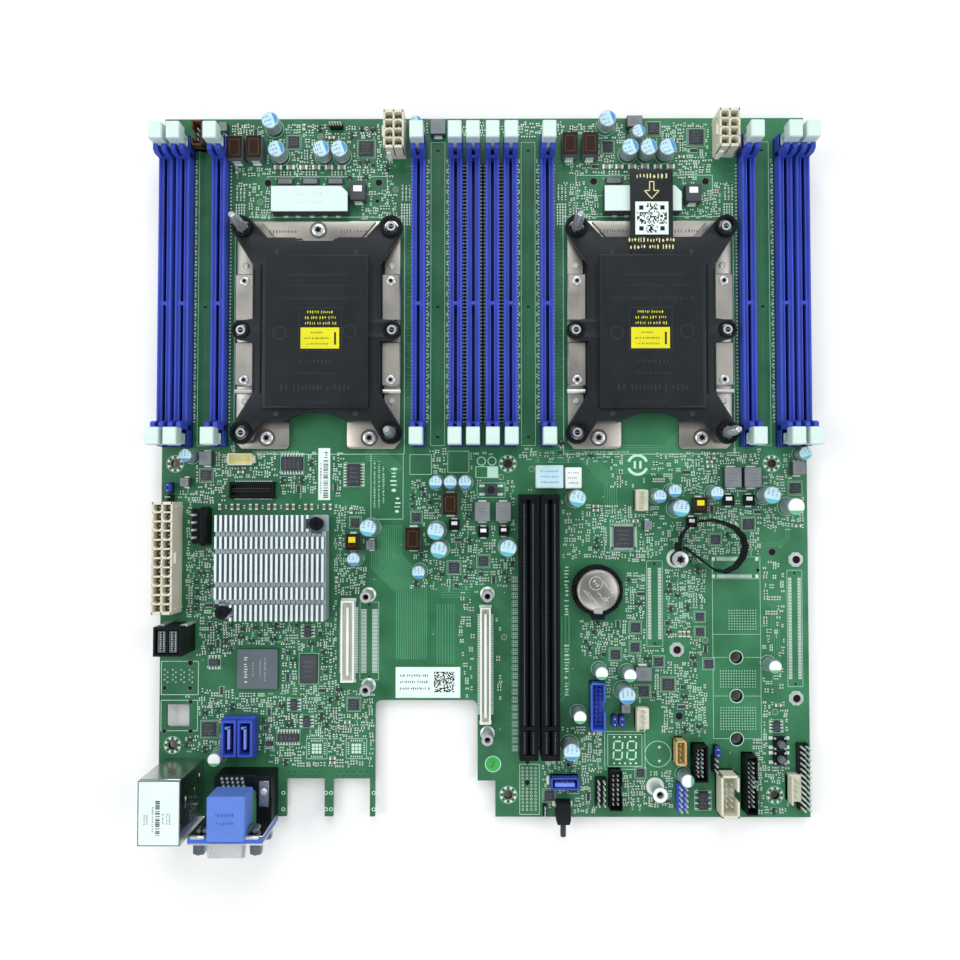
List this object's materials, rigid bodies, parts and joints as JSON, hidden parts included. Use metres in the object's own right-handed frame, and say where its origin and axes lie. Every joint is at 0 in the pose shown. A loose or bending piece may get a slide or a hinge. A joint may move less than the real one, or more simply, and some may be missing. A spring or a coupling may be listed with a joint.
{
  "type": "motherboard",
  "caption": "Server main board with two capped processor sockets, blue memory sockets with white end latches, a finned chipset heatsink, riser slots and rear ports.",
  "frame": {"origin": "centre of the 304.8 mm by 330.2 mm board outline, on the board's underside", "axes": "+Z out of the component side, -Y towards the rear edge with the ports, +X to the right when the components face the viewer and the rear edge is at the bottom"},
  "size_m": [0.3048, 0.3381, 0.0343],
  "materials": {
    "board_laminate": "green solder mask over glass-fibre laminate, satin gloss",
    "socket_blue": "moulded nylon, satin",
    "latch_white": "moulded nylon, faintly blue-green white",
    "cap_black": "fine-grained moulded plastic",
    "contact_black": "glass-filled socket moulding",
    "header_cream": "moulded nylon, natural",
    "plate_steel": "brushed stainless plate",
    "port_steel": "bright tin-plated steel",
    "sink_aluminium": "bare extruded aluminium",
    "cell_steel": "nickel-plated steel",
    "video_blue": "moulded connector housing with plated shells",
    "slot_black": "glossy black card-slot moulding",
    "button_black": "moulded button plastic"
  },
  "bodies": {
    "board": {"pcb": "board_laminate", "dimm_socket_01": "socket_blue", "dimm_socket_02": "socket_blue", "dimm_socket_03": "socket_blue", "dimm_socket_04": "socket_blue", "dimm_socket_05": "socket_blue", "dimm_socket_06": "socket_blue", "dimm_socket_07": "socket_blue", "dimm_socket_08": "socket_blue", "dimm_socket_09": "socket_blue", "dimm_socket_10": "socket_blue", "dimm_socket_11": "socket_blue", "dimm_socket_12": "socket_blue", "bolster_plate_left": "plate_steel", "cpu_socket_left": "contact_black", "backplate_left": "plate_steel", "bolster_plate_right": "plate_steel", "cpu_socket_right": "contact_black", "backplate_right": "plate_steel", "atx_power_header": "header_cream", "eps_power_header_left": "header_cream", "eps_power_header_right": "header_cream", "chipset_heatsink": "sink_aluminium", "battery_holder": "slot_black", "riser_slot_left": "slot_black", "riser_slot_right": "slot_black", "lan_usb_stack": "port_steel", "video_serial_stack": "video_blue", "sas_connector": "slot_black", "id_button_body": "button_black"},
    "dimm_latch_front_01": {"dimm_latch_front_01": "latch_white"},
    "dimm_latch_rear_01": {"dimm_latch_rear_01": "latch_white"},
    "dimm_latch_front_02": {"dimm_latch_front_02": "latch_white"},
    "dimm_latch_rear_02": {"dimm_latch_rear_02": "latch_white"},
    "dimm_latch_front_03": {"dimm_latch_front_03": "latch_white"},
    "dimm_latch_rear_03": {"dimm_latch_rear_03": "latch_white"},
    "dimm_latch_front_04": {"dimm_latch_front_04": "latch_white"},
    "dimm_latch_rear_04": {"dimm_latch_rear_04": "latch_white"},
    "dimm_latch_front_05": {"dimm_latch_front_05": "latch_white"},
    "dimm_latch_rear_05": {"dimm_latch_rear_05": "latch_white"},
    "dimm_latch_front_06": {"dimm_latch_front_06": "latch_white"},
    "dimm_latch_rear_06": {"dimm_latch_rear_06": "latch_white"},
    "dimm_latch_front_07": {"dimm_latch_front_07": "latch_white"},
    "dimm_latch_rear_07": {"dimm_latch_rear_07": "latch_white"},
    "dimm_latch_front_08": {"dimm_latch_front_08": "latch_white"},
    "dimm_latch_rear_08": {"dimm_latch_rear_08": "latch_white"},
    "dimm_latch_front_09": {"dimm_latch_front_09": "latch_white"},
    "dimm_latch_rear_09": {"dimm_latch_rear_09": "latch_white"},
    "dimm_latch_front_10": {"dimm_latch_front_10": "latch_white"},
    "dimm_latch_rear_10": {"dimm_latch_rear_10": "latch_white"},
    "dimm_latch_front_11": {"dimm_latch_front_11": "latch_white"},
    "dimm_latch_rear_11": {"dimm_latch_rear_11": "latch_white"},
    "dimm_latch_front_12": {"dimm_latch_front_12": "latch_white"},
    "dimm_latch_rear_12": {"dimm_latch_rear_12": "latch_white"},
    "socket_cover_left": {"socket_cover_left": "cap_black"},
    "socket_cover_right": {"socket_cover_right": "cap_black"},
    "coin_cell": {"coin_cell": "cell_steel"},
    "power_button": {"power_button": "button_black"},
    "reset_button": {"reset_button": "button_black"},
    "id_button": {"id_button": "button_black"}
  },
  "joints": [
    {"name": "dimm_latch_front_01_hinge", "type": "hinge", "parent": "board", "child": "dimm_latch_front_01", "pos_m": [-0.149, 0.1507, 0.007], "axis": [-1, 0, 0], "range_deg": [0, 25]},
    {"name": "dimm_latch_rear_01_hinge", "type": "hinge", "parent": "board", "child": "dimm_latch_rear_01", "pos_m": [-0.149, 0.0115, 0.007], "axis": [1, 0, 0], "range_deg": [0, 25]},
    {"name": "dimm_latch_front_02_hinge", "type": "hinge", "parent": "board", "child": "dimm_latch_front_02", "pos_m": [-0.1409, 0.1507, 0.007], "axis": [-1, 0, 0], "range_deg": [0, 25]},
    {"name": "dimm_latch_rear_02_hinge", "type": "hinge", "parent": "board", "child": "dimm_latch_rear_02", "pos_m": [-0.1409, 0.0115, 0.007], "axis": [1, 0, 0], "range_deg": [0, 25]},
    {"name": "dimm_latch_front_03_hinge", "type": "hinge", "parent": "board", "child": "dimm_latch_front_03", "pos_m": [-0.1242, 0.1507, 0.007], "axis": [-1, 0, 0], "range_deg": [0, 25]},
    {"name": "dimm_latch_rear_03_hinge", "type": "hinge", "parent": "board", "child": "dimm_latch_rear_03", "pos_m": [-0.1242, 0.0115, 0.007], "axis": [1, 0, 0], "range_deg": [0, 25]},
    {"name": "dimm_latch_front_04_hinge", "type": "hinge", "parent": "board", "child": "dimm_latch_front_04", "pos_m": [-0.0305, 0.1507, 0.007], "axis": [-1, 0, 0], "range_deg": [0, 25]},
    {"name": "dimm_latch_rear_04_hinge", "type": "hinge", "parent": "board", "child": "dimm_latch_rear_04", "pos_m": [-0.0305, 0.0115, 0.007], "axis": [1, 0, 0], "range_deg": [0, 25]},
    {"name": "dimm_latch_front_05_hinge", "type": "hinge", "parent": "board", "child": "dimm_latch_front_05", "pos_m": [-0.0131, 0.1507, 0.007], "axis": [-1, 0, 0], "range_deg": [0, 25]},
    {"name": "dimm_latch_rear_05_hinge", "type": "hinge", "parent": "board", "child": "dimm_latch_rear_05", "pos_m": [-0.0131, 0.0115, 0.007], "axis": [1, 0, 0], "range_deg": [0, 25]},
    {"name": "dimm_latch_front_06_hinge", "type": "hinge", "parent": "board", "child": "dimm_latch_front_06", "pos_m": [-0.0048, 0.1507, 0.007], "axis": [-1, 0, 0], "range_deg": [0, 25]},
    {"name": "dimm_latch_rear_06_hinge", "type": "hinge", "parent": "board", "child": "dimm_latch_rear_06", "pos_m": [-0.0048, 0.0115, 0.007], "axis": [1, 0, 0], "range_deg": [0, 25]},
    {"name": "dimm_latch_front_07_hinge", "type": "hinge", "parent": "board", "child": "dimm_latch_front_07", "pos_m": [0.0041, 0.1507, 0.007], "axis": [-1, 0, 0], "range_deg": [0, 25]},
    {"name": "dimm_latch_rear_07_hinge", "type": "hinge", "parent": "board", "child": "dimm_latch_rear_07", "pos_m": [0.0041, 0.0115, 0.007], "axis": [1, 0, 0], "range_deg": [0, 25]},
    {"name": "dimm_latch_front_08_hinge", "type": "hinge", "parent": "board", "child": "dimm_latch_front_08", "pos_m": [0.0126, 0.1507, 0.007], "axis": [-1, 0, 0], "range_deg": [0, 25]},
    {"name": "dimm_latch_rear_08_hinge", "type": "hinge", "parent": "board", "child": "dimm_latch_rear_08", "pos_m": [0.0126, 0.0115, 0.007], "axis": [1, 0, 0], "range_deg": [0, 25]},
    {"name": "dimm_latch_front_09_hinge", "type": "hinge", "parent": "board", "child": "dimm_latch_front_09", "pos_m": [0.0298, 0.1507, 0.007], "axis": [-1, 0, 0], "range_deg": [0, 25]},
    {"name": "dimm_latch_rear_09_hinge", "type": "hinge", "parent": "board", "child": "dimm_latch_rear_09", "pos_m": [0.0298, 0.0115, 0.007], "axis": [1, 0, 0], "range_deg": [0, 25]},
    {"name": "dimm_latch_front_10_hinge", "type": "hinge", "parent": "board", "child": "dimm_latch_front_10", "pos_m": [0.1238, 0.1507, 0.007], "axis": [-1, 0, 0], "range_deg": [0, 25]},
    {"name": "dimm_latch_rear_10_hinge", "type": "hinge", "parent": "board", "child": "dimm_latch_rear_10", "pos_m": [0.1238, 0.0115, 0.007], "axis": [1, 0, 0], "range_deg": [0, 25]},
    {"name": "dimm_latch_front_11_hinge", "type": "hinge", "parent": "board", "child": "dimm_latch_front_11", "pos_m": [0.141, 0.1507, 0.007], "axis": [-1, 0, 0], "range_deg": [0, 25]},
    {"name": "dimm_latch_rear_11_hinge", "type": "hinge", "parent": "board", "child": "dimm_latch_rear_11", "pos_m": [0.141, 0.0115, 0.007], "axis": [1, 0, 0], "range_deg": [0, 25]},
    {"name": "dimm_latch_front_12_hinge", "type": "hinge", "parent": "board", "child": "dimm_latch_front_12", "pos_m": [0.1491, 0.1507, 0.007], "axis": [-1, 0, 0], "range_deg": [0, 25]},
    {"name": "dimm_latch_rear_12_hinge", "type": "hinge", "parent": "board", "child": "dimm_latch_rear_12", "pos_m": [0.1491, 0.0115, 0.007], "axis": [1, 0, 0], "range_deg": [0, 25]},
    {"name": "socket_cover_left_lift", "type": "slide", "parent": "board", "child": "socket_cover_left", "axis": [0, 0, 1], "range_m": [0, 0.03]},
    {"name": "socket_cover_right_lift", "type": "slide", "parent": "board", "child": "socket_cover_right", "axis": [0, 0, 1], "range_m": [0, 0.03]},
    {"name": "coin_cell_lift", "type": "slide", "parent": "board", "child": "coin_cell", "axis": [0, 0, 1], "range_m": [0, 0.012]},
    {"name": "power_button_press", "type": "slide", "parent": "board", "child": "power_button", "axis": [0, 0, -1], "range_m": [0, 0.0003], "stiffness_N_per_m": 400},
    {"name": "reset_button_press", "type": "slide", "parent": "board", "child": "reset_button", "axis": [0, 0, -1], "range_m": [0, 0.0003], "stiffness_N_per_m": 400},
    {"name": "id_button_press", "type": "slide", "parent": "board", "child": "id_button", "axis": [0, 1, 0], "range_m": [0, 0.0008], "stiffness_N_per_m": 400}
  ]
}
